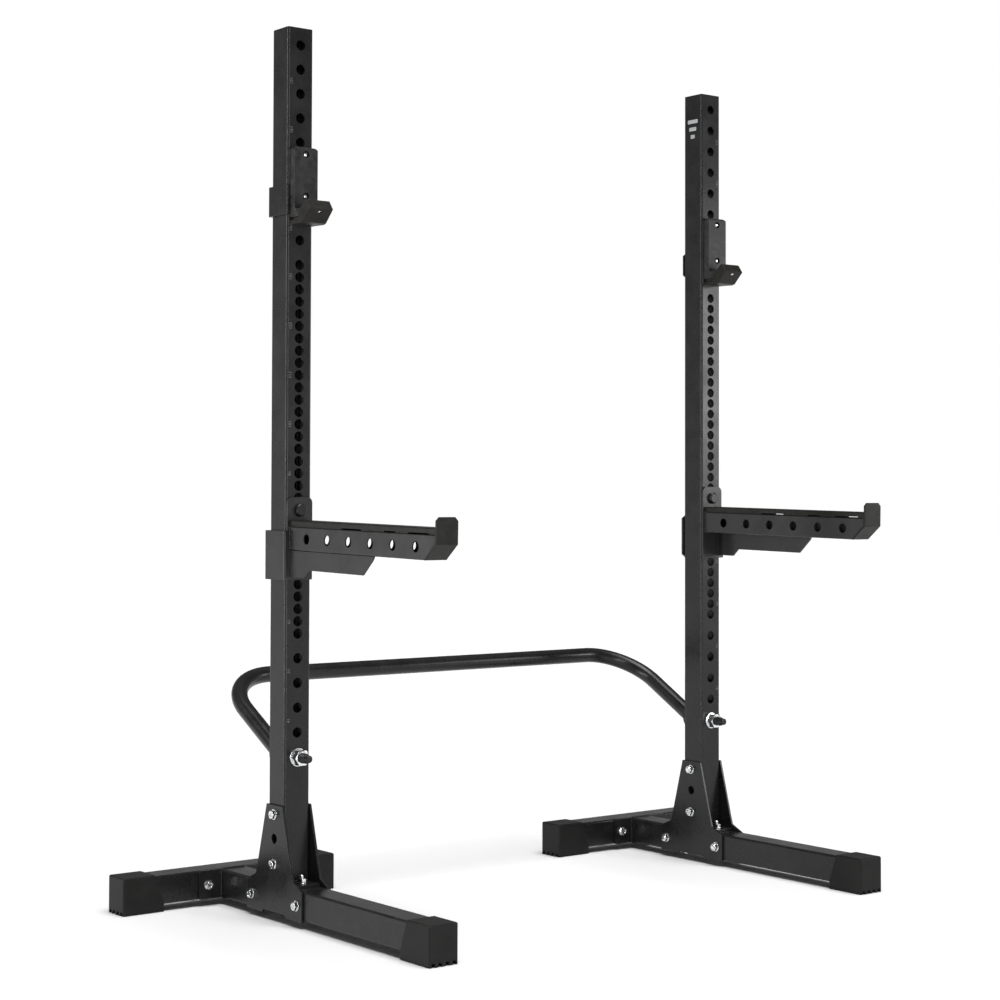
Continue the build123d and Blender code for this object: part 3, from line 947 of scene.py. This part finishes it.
@dataclass
class Studio:
    """Pale floor, white surround, overhead light and soft boxes.

    Attributes:
        floor_m: Size of the floor.
        overhead: Strength of the wide overhead light.
        overhead_deg: Angular width of the overhead light.
        overhead_tilt_deg: Tilt of the overhead light about X.
        sky: Strength of the surround on the object, well above the horizon.
        horizon: Strength of the surround on the object, at the horizon.
        fade: Height, as a sine, where the surround has fallen to sky.
        boxes: Place, width, height, power and aim point of each soft box.
    """

    floor_m: float = 60.0
    overhead: float = 3.15
    overhead_deg: float = 42.0
    overhead_tilt_deg: float = 12.0
    sky: float = 0.14
    horizon: float = 0.62
    fade: float = 0.3
    boxes: list[tuple[Vector, float, float, float, Vector]] = field(default_factory=lambda: [
        (Vector((-2.55, 0.85, 1.2)), 0.16, 2.6, 44.0, Vector((-0.58, 0.1, 1.1))),
        (Vector((-0.85, -2.10, 1.2)), 0.16, 2.6, 28.0, Vector((-0.58, 0.1, 1.1))),
        (Vector((2.9, -2.3, 1.35)), 0.9, 1.0, 26.0, Vector((0.58, 0.1, 1.0)))])

    def floor(self) -> Object:
        """Lays the floor.

        Returns:
            The floor's object.
        """
        bm = bmesh.new()
        bmesh.ops.create_grid(bm, x_segments=1, y_segments=1, size=self.floor_m / 2)
        bmesh.ops.translate(bm, verts=bm.verts, vec=(0, 0, -0.5 * MM))
        mesh = bpy.data.meshes.new("studio_floor")
        bm.to_mesh(mesh)
        bm.free()
        mat = bpy.data.materials.new("matt_white_floor_paint")
        mat.use_nodes = True
        tree = mat.node_tree
        tree.nodes.clear()
        shader = add_node(tree, "ShaderNodeBsdfDiffuse", {"Color": linear("f8f8f8")})
        add_node(tree, "ShaderNodeOutputMaterial", {"Surface": shader.outputs["BSDF"]})
        mesh.materials.append(mat)
        floor = bpy.data.objects.new("studio_floor", mesh)
        bpy.context.scene.collection.objects.link(floor)
        return floor

    def soft_boxes(self, floor: Object) -> None:
        """Hangs the soft boxes, whose light is kept off the floor.

        Args:
            floor: Floor that they leave alone.
        """
        no_floor = bpy.data.collections.new("lit_by_soft_boxes")
        no_floor.objects.link(floor)
        no_floor.collection_objects[0].light_linking.link_state = "EXCLUDE"
        for i, (place, width, height, power, target) in enumerate(self.boxes):
            data = bpy.data.lights.new(f"soft_box_{i}", "AREA")
            data.shape, data.size, data.size_y, data.energy = "RECTANGLE", width, height, power
            light = bpy.data.objects.new(f"soft_box_{i}", data)
            bpy.context.scene.collection.objects.link(light)
            aim = (target - place).to_track_quat("-Z", "Y").to_matrix().to_4x4()
            light.matrix_world = Matrix.Translation(place) @ aim
            light.visible_camera = False
            light.light_linking.receiver_collection = no_floor

    def sun(self) -> None:
        """Hangs the wide overhead light."""
        data = bpy.data.lights.new("overhead", "SUN")
        data.energy, data.angle = self.overhead, math.radians(self.overhead_deg)
        light = bpy.data.objects.new("overhead", data)
        bpy.context.scene.collection.objects.link(light)
        light.matrix_world = Matrix.Rotation(math.radians(self.overhead_tilt_deg), 4, "X")

    def build(self) -> None:
        """Creates the floor, the world and the lights."""
        floor = self.floor()
        self.world()
        self.soft_boxes(floor)
        self.sun()

    def world(self) -> None:
        """White surround, which lights the object less than it shows."""
        world = bpy.data.worlds.new("white_surround")
        world.use_nodes = True
        tree = world.node_tree
        tree.nodes.clear()
        where = add_node(tree, "ShaderNodeTexCoord").outputs["Generated"]
        height = add_node(tree, "ShaderNodeSeparateXYZ", {0: where}).outputs["Z"]
        fall = add_node(tree, "ShaderNodeMapRange", {"Value": height, "From Min": 0.0, "From Max": self.fade,
                                                     "To Min": self.horizon, "To Max": self.sky})
        lit = add_node(tree, "ShaderNodeBackground",
                       {"Color": linear("ffffff"), "Strength": fall.outputs["Result"]})
        seen = add_node(tree, "ShaderNodeBackground", {"Color": linear("ffffff"), "Strength": 1.0})
        path = add_node(tree, "ShaderNodeLightPath")
        mix = add_node(tree, "ShaderNodeMixShader",
                       {0: path.outputs["Is Camera Ray"], 1: lit.outputs["Background"],
                        2: seen.outputs["Background"]})
        add_node(tree, "ShaderNodeOutputWorld", {"Surface": mix.outputs["Shader"]})
        bpy.context.scene.world = world
        bpy.context.scene.view_settings.view_transform = "Standard"


def main() -> None:
    """Builds the sub-assemblies in order, then the stage."""
    logging.basicConfig(level=logging.INFO, format="%(name)s %(message)s")
    for side in Side:
        Stand(side).build()
        JHook(side).build()
        SpotterArm(side).build()
    RearBar().build()
    Camera().build()
    Studio().build()


if __name__ == "__main__":
    main()
